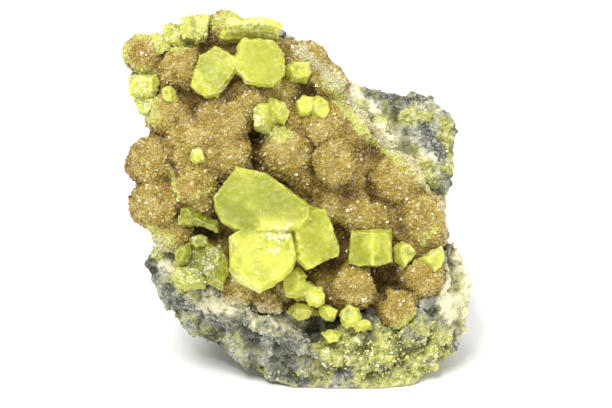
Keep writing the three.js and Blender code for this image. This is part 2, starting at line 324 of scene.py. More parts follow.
# Relief and scatter, as geometry nodes ------------------------------------------------

def geometry_tree(name):
    """An empty geometry tree, with its input geometry."""
    tree = bpy.data.node_groups.new(name, "GeometryNodeTree")
    for way in ("INPUT", "OUTPUT"):
        tree.interface.new_socket("Geometry", in_out=way, socket_type="NodeSocketGeometry")
    return tree, add_node(tree, "NodeGroupInput").outputs[0]


def swell(tree, place, size, seed):
    """Rounded swells, from -1 to 1, of this size in mm."""
    bumps = add_node(
        tree, "ShaderNodeTexNoise",
        {"Vector": place, "W": seed, "Scale": per(size), "Detail": 3.0, "Roughness": 0.55},
        noise_dimensions="4D",
    )
    return arithmetic(tree, "MULTIPLY_ADD", bumps.outputs[0], 4.0, -2.0)


def chips(tree, place, size, seed):
    """Flat chips this many mm wide, each tilted its own way, from about -1 to 1."""
    cells = add_node(
        tree, "ShaderNodeTexVoronoi", {"Vector": place, "W": seed, "Scale": per(size)},
        voronoi_dimensions="4D",
    )
    offset = add_node(
        tree, "ShaderNodeVectorMath", {0: place, 1: cells.outputs["Position"]},
        operation="SUBTRACT",
    ).outputs[0]
    tilt = add_node(
        tree, "ShaderNodeVectorMath", {0: cells.outputs["Color"], 1: (0.5, 0.5, 0.5)},
        operation="SUBTRACT",
    ).outputs[0]
    slope = add_node(
        tree, "ShaderNodeVectorMath", {0: offset, 1: tilt}, operation="DOT_PRODUCT",
    ).outputs["Value"]
    return arithmetic(tree, "MULTIPLY", slope, 3 * per(size))


def lumps(tree, place, size, seed):
    """Rounded lumps this many mm across, with sharp creases between them, from -0.6 to 0.4."""
    cells = add_node(
        tree, "ShaderNodeTexVoronoi", {"Vector": place, "W": seed, "Scale": per(size)},
        voronoi_dimensions="4D",
    )
    return arithmetic(tree, "SUBTRACT", 0.4, cells.outputs["Distance"])


def layers(tree, place, size, seed):
    """Thin layers lying flat, about this many mm thick, that stand in and out of an edge."""
    flat = add_node(
        tree, "ShaderNodeVectorMath", {0: place, 1: (0.12, 0.12, 1)}, operation="MULTIPLY",
    ).outputs[0]
    return arithmetic(tree, "SNAP", swell(tree, flat, size * 2, seed), 0.3)


def even(tree, place, size, seed):
    """No pattern: the same height all over."""
    return 1.0


def steps(tree, place, size, seed):
    """Growth steps: swells of this size in mm, cut into flat terraces."""
    return arithmetic(tree, "SNAP", swell(tree, place, size, seed), 0.34)


def raise_relief(piece, coats, seed, hold=0.0):
    """Pushes the surface in and out by coats of (pattern, size in mm, height in metres).

    A coat may end with the name of a stored value that says where it is strong. Within
    hold of the ground, the relief fades out, so that the base stays flat. How far the
    surface was pushed is stored as "relief", in mm.
    """
    tree, geometry = geometry_tree("relief")
    place = add_node(tree, "GeometryNodeInputPosition").outputs[0]
    height = 0.0
    for order, (pattern, size, reach, *where) in enumerate(coats):
        for name in where:
            strong = add_node(tree, "GeometryNodeInputNamedAttribute", {"Name": name})
            reach = arithmetic(tree, "MULTIPLY", strong.outputs[0], reach)
        height = arithmetic(
            tree, "MULTIPLY_ADD", pattern(tree, place, size, seed + order), reach, height,
        )
    if hold:
        above = add_node(tree, "ShaderNodeSeparateXYZ", {0: place}).outputs[2]
        fade = add_node(tree, "ShaderNodeMapRange", {"Value": above, 2: hold}).outputs[0]
        height = arithmetic(tree, "MULTIPLY", height, fade)
    normal = add_node(tree, "GeometryNodeInputNormal").outputs[0]
    push = add_node(
        tree, "ShaderNodeVectorMath", {0: normal, "Scale": height}, operation="SCALE",
    ).outputs[0]
    marked = add_node(
        tree, "GeometryNodeStoreNamedAttribute",
        {
            "Geometry": geometry, "Name": "relief",
            "Value": arithmetic(tree, "MULTIPLY", height, 1 / MM),
        },
        data_type="FLOAT", domain="POINT",
    )
    moved = add_node(
        tree, "GeometryNodeSetPosition", {"Geometry": marked.outputs[0], "Offset": push},
    )
    add_node(tree, "NodeGroupOutput", {0: moved.outputs[0]})
    shape_by(piece, "NODES", node_group=tree)
    bpy.data.node_groups.remove(tree)


def scatter(surface, name, shapes, spacing, sizes, tilt, seed):
    """Grows small shapes all over a surface, as one mesh.

    The surface's own attribute "chance" thins them. sizes are their least and greatest
    (x, y, z) sizes, and tilt is how far they lean from the surface's normal.
    """
    piece = duplicate_of(surface, name)
    collection = bpy.data.collections.new(name + "_shapes")
    for shape in shapes:
        collection.objects.link(shape)
    tree, geometry = geometry_tree("scatter")
    chance = add_node(tree, "GeometryNodeInputNamedAttribute", {"Name": "chance"})
    points = add_node(
        tree, "GeometryNodeDistributePointsOnFaces",
        {
            "Mesh": geometry, "Distance Min": spacing, "Density Max": 1.2 / spacing ** 2,
            "Density Factor": chance.outputs[0], "Seed": seed,
        },
        distribute_method="POISSON",
    )
    lean = add_node(
        tree, "FunctionNodeRandomValue",
        {0: (-tilt, -tilt, -math.pi), 1: (tilt, tilt, math.pi), "Seed": seed + 1},
        data_type="FLOAT_VECTOR",
    )
    turn = add_node(
        tree, "FunctionNodeRotateRotation",
        {
            "Rotation": points.outputs["Rotation"],
            "Rotate By": add_node(
                tree, "FunctionNodeEulerToRotation", {0: lean.outputs[0]},
            ).outputs[0],
        },
        rotation_space="LOCAL",
    )
    size = add_node(
        tree, "FunctionNodeRandomValue", {0: sizes[0], 1: sizes[1], "Seed": seed + 2},
        data_type="FLOAT_VECTOR",
    )
    family = add_node(
        tree, "FunctionNodeRandomValue", {2: 0.72, 3: 1.28, "Seed": seed + 3}, data_type="FLOAT",
    )
    scaled = add_node(
        tree, "ShaderNodeVectorMath", {0: size.outputs[0], "Scale": family.outputs[1]},
        operation="SCALE",
    )
    choice = add_node(
        tree, "FunctionNodeRandomValue", {4: 0, 5: len(shapes) - 1, "Seed": seed + 4},
        data_type="INT",
    )
    library = add_node(
        tree, "GeometryNodeCollectionInfo",
        {"Collection": collection, "Separate Children": True, "Reset Children": True},
    )
    grown = add_node(
        tree, "GeometryNodeInstanceOnPoints",
        {
            "Points": points.outputs["Points"], "Instance": library.outputs[0],
            "Pick Instance": True, "Instance Index": choice.outputs[2],
            "Rotation": turn.outputs[0], "Scale": scaled.outputs[0],
        },
    )
    tint = add_node(
        tree, "FunctionNodeRandomValue", {2: 0.0, 3: 1.0, "Seed": seed + 5}, data_type="FLOAT",
    )
    tinted = add_node(
        tree, "GeometryNodeStoreNamedAttribute",
        {"Geometry": grown.outputs[0], "Name": "tint", "Value": tint.outputs[1]},
        data_type="FLOAT", domain="INSTANCE",
    )
    solid = add_node(tree, "GeometryNodeRealizeInstances", {0: tinted.outputs[0]})
    add_node(tree, "NodeGroupOutput", {0: solid.outputs[0]})
    shape_by(piece, "NODES", node_group=tree)
    bpy.data.node_groups.remove(tree)
    bpy.data.collections.remove(collection)
    return piece


# Small shapes -------------------------------------------------------------------------

def rhomb(stretch):
    """A rhombohedron one unit wide, standing on its corner, for a sparry druse point."""
    bpy.ops.mesh.primitive_cube_add(
        size=1, rotation=(math.radians(45), math.atan(1 / math.sqrt(2)), 0),
    )
    bpy.ops.object.transform_apply(rotation=True)
    bpy.ops.object.mode_set(mode="EDIT")
    bpy.ops.mesh.select_all(action="SELECT")
    bpy.ops.transform.resize(value=(1, 1, stretch))
    bpy.ops.object.mode_set(mode="OBJECT")
    return bpy.context.object


def chip(*cuts):
    """A unit block with corners cut away: each cut is its (distance from the middle, normal)."""
    bpy.ops.mesh.primitive_cube_add(size=1)
    bpy.ops.object.mode_set(mode="EDIT")
    for distance, normal in cuts:
        outwards = Vector(normal).normalized()
        bpy.ops.mesh.select_all(action="SELECT")
        bpy.ops.mesh.bisect(
            plane_co=outwards * distance, plane_no=outwards, use_fill=True, clear_outer=True,
        )
    bpy.ops.object.mode_set(mode="OBJECT")
    return bpy.context.object


def put_away(shapes):
    """Deletes the small shapes once they have been scattered."""
    for shape in shapes:
        bpy.data.objects.remove(shape)


# Materials ----------------------------------------------------------------------------

def new_material(name):
    """A material with its tree, its Principled shader and its Object coordinates."""
    material = bpy.data.materials.new(name)
    material.use_nodes = True
    tree = material.node_tree
    shader = tree.nodes["Principled BSDF"]
    place = add_node(tree, "ShaderNodeTexCoord").outputs["Object"]
    return material, tree, shader, place


def ramp(tree, value, *stops):
    """The colour output of a ramp through stops of (position, colour)."""
    node = add_node(tree, "ShaderNodeValToRGB", {0: value})
    elements = node.color_ramp.elements
    for element, (position, tone) in zip((elements[0], elements[1]), (stops[0], stops[-1])):
        element.position = position
        element.color = tone
    for position, tone in stops[1:-1]:
        elements.new(position).color = tone
    return node.outputs[0]


def grain(tree, place, size, detail=3.0, roughness=0.5, distortion=0.0):
    """Noise from 0 to 1 with grains of this size in mm."""
    return add_node(
        tree, "ShaderNodeTexNoise",
        {
            "Vector": place, "Scale": per(size), "Detail": detail, "Roughness": roughness,
            "Distortion": distortion,
        },
    ).outputs[0]


def sectors(tree, place, size):
    """Growth sectors this many mm across, each with a value of its own and a ragged edge."""
    bent = add_node(
        tree, "ShaderNodeVectorMath",
        {
            0: add_node(
                tree, "ShaderNodeTexNoise", {"Vector": place, "Scale": per(size), "Detail": 3.0},
            ).outputs["Color"],
            1: (size * 0.5 * MM,) * 3, 2: place,
        },
        operation="MULTIPLY_ADD",
    ).outputs[0]
    cells = add_node(tree, "ShaderNodeTexVoronoi", {"Vector": bent, "Scale": per(size)})
    return add_node(tree, "ShaderNodeSeparateColor", {0: cells.outputs["Color"]}).outputs[0]


def blend(tree, share, first, second):
    """Mixes two colours by share."""
    return add_node(
        tree, "ShaderNodeMix", {0: share, 6: first, 7: second}, data_type="RGBA",
    ).outputs[2]


def band(tree, value, low, high):
    """A value stretched so that low becomes 0 and high becomes 1."""
    return add_node(tree, "ShaderNodeMapRange", {"Value": value, 1: low, 2: high}).outputs[0]


def attribute(tree, name):
    """The value that the mesh stores under this name."""
    return add_node(tree, "ShaderNodeAttribute", attribute_name=name).outputs["Fac"]


def patches(tree, name, share, pattern, low, high):
    """Ragged patches, 0 at low and 1 at high, of a stored value that a pattern breaks up."""
    return band(
        tree, arithmetic(tree, "MULTIPLY_ADD", attribute(tree, name), share, pattern), low, high,
    )


def bump(tree, shader, height, distance, strength):
    """Gives the shader fine relief, distance in mm."""
    relief = add_node(
        tree, "ShaderNodeBump",
        {"Height": height, "Distance": distance * MM, "Strength": strength},
    )
    feed(tree, shader, {"Normal": relief.outputs[0]})


def limestone_material(colours):
    """Grey limestone, broken by hammer: dull, mottled, stained with sulfur and chalk."""
    material, tree, shader, place = new_material("limestone_broken")
    mottle = grain(tree, place, 5, detail=8, roughness=0.66, distortion=0.5)
    stone = ramp(
        tree, mottle,
        (0.36, colours.stone_dark), (0.48, colours.stone_body), (0.62, colours.stone_light),
    )
    stone = blend(
        tree, arithmetic(tree, "MULTIPLY", attribute(tree, "dark"), 0.8), stone, colour("#4a4b46"),
    )
    chalk = patches(tree, "bleached", 0.6, grain(tree, place, 1.6, 6), 0.70, 0.98)
    stone = blend(tree, chalk, stone, colours.stone_bleached)
    flecks = band(tree, grain(tree, place, 0.6, detail=3, roughness=0.8), 0.5, 0.62)
    stone = blend(tree, arithmetic(tree, "MULTIPLY", flecks, 0.75), stone, colour("#dcdccb"))
    pores = band(tree, grain(tree, place, 0.8, detail=4, roughness=0.7), 0.46, 0.36)
    pores = arithmetic(tree, "MULTIPLY", pores, arithmetic(tree, "MULTIPLY_ADD", chalk, -0.6, 0.8))
    stone = blend(tree, pores, stone, colour("#34352a"))
    cover = arithmetic(
        tree, "MULTIPLY_ADD", attribute(tree, "sulfur"), 0.42,
        grain(tree, place, 2.2, detail=8, roughness=0.72, distortion=0.6),
    )
    cover = arithmetic(tree, "MULTIPLY_ADD", attribute(tree, "dark"), -0.35, cover)
    dusting = band(tree, cover, 0.58, 0.74)
    crust = ramp(
        tree, grain(tree, place, 1.3, detail=6, roughness=0.72),
        (0.34, colour("#6f7133")), (0.46, colour("#b0b05c")), (0.56, colour("#cccb80")),
        (0.68, colour("#ebeac6")),
    )
    stone = blend(tree, dusting, stone, crust)
    # Painted shade: the stone is darkened towards #35361e in the crevices of its relief.
    crevice_shade = band(tree, attribute(tree, "relief"), -0.1, -1.3)
    stone = blend(tree, arithmetic(tree, "MULTIPLY", crevice_shade, 0.75), stone, colour("#35361e"))
    dull = arithmetic(tree, "MULTIPLY_ADD", dusting, -0.3, 0.85)
    feed(tree, shader, {"Base Color": stone, "IOR": 1.5, "Roughness": dull})
    rough = arithmetic(
        tree, "ADD", grain(tree, place, 0.6, detail=5, roughness=0.7),
        arithmetic(tree, "MULTIPLY", grain(tree, place, 0.25, detail=2), 0.4),
    )
    bump(tree, shader, rough, 0.35, 0.9)
    return material


def druse_material(colours):
    """Calcite druse, honey-brown and sugary: glassy points whose light soaks in a little."""
    material, tree, shader, place = new_material("calcite_druse_sugary")
    clouds = grain(tree, place, 3, detail=5, roughness=0.6)
    body = ramp(
        tree, clouds, (0.36, colour("#9f8540")), (0.5, colours.druse_body),
        (0.66, colour("#cbb472")),
    )
    pale = band(tree, attribute(tree, "tint"), 0.7, 0.95)
    body = blend(tree, arithmetic(tree, "MULTIPLY", pale, 0.6), body, colours.druse_clear)
    # Painted shade: the druse darkens by how far each place lies below the crowns around it.
    hollow = band(
        tree,
        arithmetic(tree, "MULTIPLY_ADD", grain(tree, place, 2, 4), 0.5, attribute(tree, "hollow")),
        0.65, 1.4,
    )
    body = blend(tree, hollow, body, colours.druse_painted_shade)
    dusting = patches(tree, "sulfur", 0.6, grain(tree, place, 1.2, 4), 0.66, 0.9)
    body = blend(tree, dusting, body, colour("#d2cf70"))
    chalk = patches(tree, "bleached", 0.7, grain(tree, place, 1.5, 5), 0.66, 0.98)
    body = blend(tree, arithmetic(tree, "MULTIPLY", chalk, 0.8), body, colour("#d6cda6"))
    feed(tree, shader, {
        "Base Color": body, "IOR": 1.6, "Roughness": 0.22, "Subsurface Weight": 0.7,
        "Subsurface Radius": (1.0, 0.8, 0.35), "Subsurface Scale": 1.0 * MM,
    })
    return material


def sulfur_material(colours, name, body, clearness, roughness, cloud):
    """Native sulfur crystal, as grown: adamantine faces on a cloudy lemon-yellow body.

    Thin rims are painted paler, a painted glow for the light that they let through, and freshly
    stepped places glint, with painted white highlights on top of their glossy coat.
    """
    material, tree, shader, place = new_material(name)
    veils = grain(tree, place, cloud, detail=5, roughness=0.55, distortion=0.8)
    body = ramp(
        tree, veils, (0.36, colours.sulfur_deep), (0.53, body), (0.68, colours.sulfur_pale),
    )
    sector = arithmetic(tree, "MULTIPLY", sectors(tree, place, 0.6 * cloud), 0.22)
    body = blend(tree, sector, body, colours.sulfur_bright)
    specks = band(tree, grain(tree, place, 0.9, 5, 0.6, distortion=0.4), 0.46, 0.64)
    body = blend(tree, arithmetic(tree, "MULTIPLY", specks, 0.35), body, colours.sulfur_glint)
    # Where the pale mark is high the body turns paler: real pale, cloudy crystals, and painted
    # light on brighter-lit faces, with a painted highlight along the square crystal's ridge.
    mottle = arithmetic(tree, "MULTIPLY_ADD", grain(tree, place, 1.6, 4, distortion=0.5), 2.4, -0.2)
    cloudy = arithmetic(tree, "MULTIPLY", attribute(tree, "pale"), mottle)
    body = blend(tree, cloudy, body, colours.sulfur_bright)
    # Where the green mark is high the body turns deeper green: greener crystals, and painted shade
    # on the square crystal's left face.
    body = blend(tree, attribute(tree, "green"), body, colours.sulfur_deep)
    # Painted highlight: rims and glint places are painted towards the pale glint colour.
    glint = attribute(tree, "glint")
    rim = arithmetic(
        tree, "MULTIPLY", attribute(tree, "rim"), grain(tree, place, 1.0, detail=3),
    )
    pale = arithmetic(
        tree, "MAXIMUM",
        arithmetic(tree, "MULTIPLY", band(tree, rim, 0.15, 0.6), 0.25),
        arithmetic(tree, "MULTIPLY", glint, band(tree, grain(tree, place, 0.9, 4), 0.47, 0.6)),
    )
    body = blend(tree, pale, body, colours.sulfur_glint)
    uneven = arithmetic(tree, "MULTIPLY_ADD", grain(tree, place, 1.2, 3), 0.25, roughness)
    feed(tree, shader, {
        "Base Color": body, "IOR": 1.96, "Roughness": uneven, "Specular IOR Level": 0.13,
        "Coat Weight": glint, "Coat IOR": 1.96, "Coat Roughness": 0.08,
        "Subsurface Weight": 1.0, "Subsurface Radius": (1.0, 0.95, 0.25),
        "Subsurface Scale": 1.8 * MM, "Transmission Weight": clearness,
    })
    ripples = arithmetic(
        tree, "ADD", grain(tree, place, 1.1, detail=3),
        arithmetic(tree, "MULTIPLY", grain(tree, place, 0.35, detail=2), 0.4),
    )
    bump(tree, shader, ripples, 0.1, 0.35)
    return material


def crust_material(colours):
    """Sulfur crust, granular: small dull-edged grains, each its own yellow."""
    material, tree, shader, place = new_material("sulfur_crust_granular")
    tint = arithmetic(
        tree, "MULTIPLY_ADD", grain(tree, place, 2.5, 4), 0.6,
        arithmetic(tree, "MULTIPLY", attribute(tree, "tint"), 0.55),
    )
    body = ramp(
        tree, tint, (0.3, colour("#85863d")), (0.46, colour("#b5b552")),
        (0.6, colour("#cccd66")), (0.74, colour("#dcdb90")), (0.84, colour("#e2e0b8")),
    )
    # Painted highlight where glints are marked, and a little real chalky paleness where the surface
    # is bleached: grains brighten towards #f4f492.
    chalk_and_painted_glint = arithmetic(
        tree, "MULTIPLY_ADD", attribute(tree, "bleached"), 0.3, attribute(tree, "glint"),
    )
    body = blend(tree, chalk_and_painted_glint, body, colour("#f4f492"))
    feed(tree, shader, {
        "Base Color": body, "IOR": 1.96, "Roughness": 0.22, "Subsurface Weight": 0.7,
        "Subsurface Radius": (1.0, 0.95, 0.3), "Subsurface Scale": 0.6 * MM,
    })
    return material


def card_material():
    """White card, matte: a plain pale floor with no shine."""
    material, tree, shader, _ = new_material("card_white_matte")
    feed(tree, shader, {
        "Base Color": colour("#f7f7f5"), "Roughness": 0.95, "Specular IOR Level": 0.1,
    })
    return material


# Operators ------------------------------------------------------------------------------

# Strips of the face, in mm, as spread_strips takes them: where sulfur covers the stone,
# where the stone is bleached to chalk, and where it is dark.
SULFUR_ON_STONE = [
    (7, 63, 13, 52, 2.2, 1.0), (26.5, 46, 31, 37, 2.2, 0.8), (31.5, 28, 35, 12, 4.0, 0.3),
    (8, 8, 29, 8, 7.0, 1.0), (14, 2, 28, 4, 4.0, 0.9), (-31, 34, -30, 28, 2.2, 0.9),
    (19, 57, 27, 57, 3.0, 0.55), (31, 56, 31, 46, 2.2, 0.7), (12, 60, 18, 54, 2.2, 0.6),
    (19, 53, 26, 47, 2.2, 0.6), (-26, 15, -10, 8, 3.0, 0.35), (-9, 3, 4, 1, 2.4, 0.5),
    (-27, 22, -22, 19, 2.0, 0.6), (-37, 70, -35, 60, 2.6, 1.2), (-34, 74, -26, 75, 1.6, 1.0),
]
CHALK_ON_STONE = [
    (10, 59, 18, 49, 2.4, 0.9), (18, 50, 27, 44, 2.8, 1.0), (-29, 27, -20, 18, 2.6, 1.0),
    (-20, 18, 0, 13, 2.4, 0.8), (30.5, 33, 34.5, 13, 4.8, 1.9), (24, 60, 29, 59, 1.6, 0.6),
    (34, 16, 30, 8, 2.6, 1.0), (20, 6, 27, 10, 1.6, 0.7), (11, 62, 18, 55, 2.8, 1.2),
    (18, 55, 26, 46.5, 2.8, 1.2), (21, 6, 28, 4.5, 1.6, 0.9), (14, 10.5, 18, 9.8, 1.3, 0.9),
]
DARK_ON_STONE = [
    (26, 54, 29.5, 49, 1.8, 1.0), (-33, 26.5, -31, 23, 1.2, 0.8), (32.5, 9.5, 35, 7.5, 1.4, 0.9),
    (-11, 10.5, -3, 8, 1.5, 0.7), (-24, 18, -17, 13, 1.2, 0.5), (16, 55, 20, 51, 1.2, 0.6),
    (-6, 3, 1, 1, 1.2, 0.6), (9, 9, 12, 7, 1.0, 0.8), (19, 9, 23, 12, 1.0, 0.8),
    (24, 10.5, 27, 9, 1.6, 1.0), (27, 5, 29.5, 6.5, 1.5, 0.9), (6, 4.5, 10, 3, 1.4, 0.8),
    (16, 5, 19, 3, 1.2, 0.8), (33.6, 11, 34.5, 8, 1.6, 1.0),
]
# Where grains of sulfur have grown over the crystals themselves.
SULFUR_ON_CRYSTALS = [
    (-36, 68, -33, 60, 1.6, 0.9), (-33.5, 57, -31, 56, 1.6, 1.0), (-31, 71, -29, 73, 2.0, 0.8),
    (-27, 73, -25, 76, 2.2, 0.9), (-22, 72.5, -20, 73.5, 1.6, 0.9), (-16, 75, -14, 75, 1.0, 0.8),
]
# Where the druse carries sulfur or chalk, and where it is hollowed out.
SULFUR_ON_DRUSE = [
    (-38.5, 74, -38, 66, 2.4, 1.2), (-37, 66, -32, 66, 1.8, 1.0), (-33, 65, -31, 57, 2.6, 1.0),
    (-34, 75, -24, 74, 2.0, 1.0), (-24, 74, -14, 78, 1.8, 1.0), (-28, 71, -22, 72, 1.4, 0.8),
    (-9, 77, 0, 74, 1.8, 0.8), (-7, 54, -3, 53, 2.2, 0.7), (-27.3, 46.5, -25, 39, 0.6, 0.8),
    (-31, 33, -27, 30, 2.0, 0.8), (26, 31, 29, 35, 1.4, 0.6), (0, 15, 12, 12, 2.4, 0.9),
    (20, 12, 27, 17, 1.8, 0.8), (6, 64, 13, 54, 1.8, 0.9), (14, 53, 28, 42, 1.6, 0.6),
    (-14, 69, -3, 62, 1.6, 0.4), (-22, 40.5, -16, 42, 0.8, 0.6), (8, 36.5, 10, 35, 1.0, 0.5),
]
CHALK_ON_DRUSE = [
    (10, 61, 19, 51, 1.8, 0.8), (19, 51, 29, 41, 1.6, 0.7), (29, 41, 31, 31, 1.2, 0.5),
    (0, 71, 8, 64, 2.2, 0.7), (-31, 32, -20, 19, 2.0, 0.7), (-20, 19, -4, 16, 1.8, 0.6),
]
HOLLOWS_IN_DRUSE = [
    (-9.5, 53, -9, 46, 1.1, 0.8), (14.6, 44.5, 15.6, 39.5, 1.3, 0.9),
    (2.6, 46, 3.2, 42.5, 1.0, 0.6), (15, 25, 17.5, 19, 1.2, 1.0), (-6, 21, -2, 16, 1.1, 1.0),
    (18, 21.8, 23, 20.6, 0.8, 0.6), (-21, 33.5, -14, 31.5, 1.2, 1.0), (20, 31, 23, 26, 0.9, 0.6),
    (-26, 66, -24.5, 60, 0.9, 0.5), (7, 27, 10, 31, 1.2, 0.6), (-27, 50, -26, 44, 0.9, 0.5),
    (-17, 59, -12, 62.5, 1.0, 0.6),
]
# The balls that stand out from the druse: x, y and radius on the face, in mm.
DRUSE_CROWNS = [
    (7.2, 47.5, 4.5), (20.2, 43.7, 4.9), (26.5, 35.2, 4.2), (12.4, 22.3, 5.2), (20.2, 17.4, 3.7),
    (26.2, 22.9, 4.2), (-3.1, 47.6, 5.4), (-31.1, 47.5, 5.2), (-30.6, 39.4, 5.2),
    (-16.5, 55.5, 5.6), (-27, 57.5, 4.6), (-33.6, 70.3, 3.8), (-24.8, 67, 4.4), (5.4, 55, 4.4),
    (15.4, 36.2, 3.6), (-21.5, 41, 4.4), (-14.5, 49, 4.8), (-15, 75.6, 3.4), (-13, 20.8, 4.0),
    (-5.6, 19.6, 3.6), (2.2, 68, 4.0), (7, 63, 3.6),
]
# Where sulfur crystals are stepped and glint, which gives them stepped relief, a glossy coat and
# painted white highlights, and where they are pale or green.
GLINTS = [
    (-6, 32.6, -2.6, 33.4, 1.3, 1.0), (-8, 29.5, -5, 29, 0.9, 0.8), (-13, 24, -8, 20, 0.9, 0.5),
    (-20.5, 24, -16, 30, 1.7, 1.0), (-35, 66, -30, 58, 3.4, 0.6), (-31, 71, -20, 77, 3.0, 0.45),
    (-9.6, 58.5, -7.6, 55, 1.2, 1.0), (-16.5, 62, -12.5, 65.5, 0.9, 0.7),
    (-13, 64, -11, 64, 0.7, 0.8), (1, 20, 5, 18, 0.8, 0.6), (-22, 49.5, -20.5, 50, 0.7, 0.8),
    (27, 28, 29.6, 29, 0.8, 0.7), (-14, 75.5, -4, 74.5, 2.2, 0.8), (3, 59, 5, 57, 0.7, 0.5),
    (-6.6, 31.6, -3, 32, 1.2, 1.0), (-38.6, 73, -37.6, 65, 1.8, 0.9),
    (-24, 73, -15, 78, 1.6, 0.5),
]
# Pale crystals such as the discs and the top right ones, and painted light: the front plate and the
# left-edge crystals are painted brighter, and the thin strip at x 15.1 is a painted highlight along
# the square crystal's ridge.
PALE_SULFUR_AND_PAINTED_LIGHT = [
    (-11, 28, -4, 26, 5.5, 0.55), (-11, 22, -6, 20, 2.0, 0.8), (-9, 70, -7, 65, 5.0, 0.4),
    (-34, 66, -30, 57, 4.0, 1.0), (-32, 72, -20, 76, 3.0, 0.8), (-8, 34.5, 0, 34, 2.0, 0.8),
    (-14, 75, -4, 75, 3.0, 1.0), (0, 60, 5, 57, 3.0, 1.0), (27, 28, 30, 28, 2.6, 0.7),
    (-3.5, 24, 5, 17, 3.4, 1.0), (4, 36, 6, 32, 1.6, 0.4), (13, 14, 20, 10, 3.0, 0.5),
    (5, 67, 10, 63, 2.5, 0.9), (15.1, 33, 15.1, 26, 0.45, 1.0), (-35.5, 67, -31, 57, 3.4, 1.0),
]
# Greener crystals, and painted shade: the strip at x 12.2 to 12.4 darkens the square crystal's left
# face.
GREEN_SULFUR_AND_PAINTED_SHADE = [
    (-15.5, 38, -11, 36, 3.4, 1.0), (-14, 42, 1, 38, 5.0, 0.65), (12.2, 32, 12.4, 26, 2.4, 0.7),
    (-24, 29, -18, 24, 4.0, 0.6), (2, 32, 4, 29, 2.2, 0.4), (-20, 68, -15, 63, 3.6, 0.4),
    (-9, 71, -7, 65, 4.5, 0.4), (17.5, 32, 17.5, 26, 2.2, 0.4), (-24, 37, -18, 34, 3.0, 0.6),
]

# The pieces that the druse points come in, with the heights on the face, in mm, that each
# one lies between, and how far behind the face points still grow.
DRUSE_FIELDS = (
    ("druse_points_lower", -99, 33),
    ("druse_points_middle", 33, 50),
    ("druse_points_upper", 50, 99),
)
POINTS_END = -6.5

# The pieces that crust grains grow on, with the name and the seed of each one's crust, how
# far behind the face the grains end and how far above the ground they start, in mm.
CRUSTED = (
    ("limestone_lump", "crust_on_stone", 61),
    ("druse_balls", "crust_on_druse", 71),
    ("crystal_crown_cluster", "crust_on_crown", 81),
    ("crystal_left_edge", "crust_on_left_edge", 91),
)
CRUST_END = -14
CRUST_START = 1.3

# The large tabular crystals, the clear ones, and the ones worn soft.
TABULAR = ("sulfur_centre_group", "sulfur_square", "sulfur_top_pair", "sulfur_top_ledge")
GLASSY = ("sulfur_left_nest", "sulfur_left_wedge", "sulfur_under_pair")
SOFT = ("sulfur_pale_discs", "sulfur_top_right", "sulfur_upper_left_chip")
WEAR = 4  # rounds of smoothing for a crystal's edges
SOFT_WEAR = 24


class SpecimenLimestone(bpy.types.Operator):
    """Breaks the lump's plain faces into rough, stained limestone"""
    bl_idname = "specimen.limestone"
    bl_label = "Limestone Lump"

    def execute(self, context):
        sizes = context.scene.specimen_sizes
        rock = merged_copy("limestone_matrix", "limestone_lump")
        shape_by(rock, "REMESH", mode="VOXEL", voxel_size=sizes.stone_grain)
        relief = sizes.stone_relief
        spread_strips(rock, "sulfur", SULFUR_ON_STONE, floor=0.16)
        spread_strips(rock, "bleached", CHALK_ON_STONE, floor=0.1)
        spread_strips(rock, "dark", DARK_ON_STONE)
        # Glint marks here reach the crust grains that grow on the stone, and paint them brighter as
        # painted highlights.
        spread_strips(rock, "glint", GLINTS)
        raise_relief(
            rock,
            [
                (swell, 11, relief), (chips, 6, 0.8 * relief), (chips, 2.6, 0.55 * relief),
                (lumps, 1.6, 0.6 * relief), (swell, 1.4, 0.25 * relief),
                (lumps, 3.8, 2.3 * relief, "sulfur"), (lumps, 1.8, 0.7 * relief, "sulfur"),
            ],
            seed=3, hold=2 * MM,
        )
        finish_piece(
            rock, "limestone", limestone_material(context.scene.specimen_colours),
            "limestone_matrix",
        )
        return {"FINISHED"}


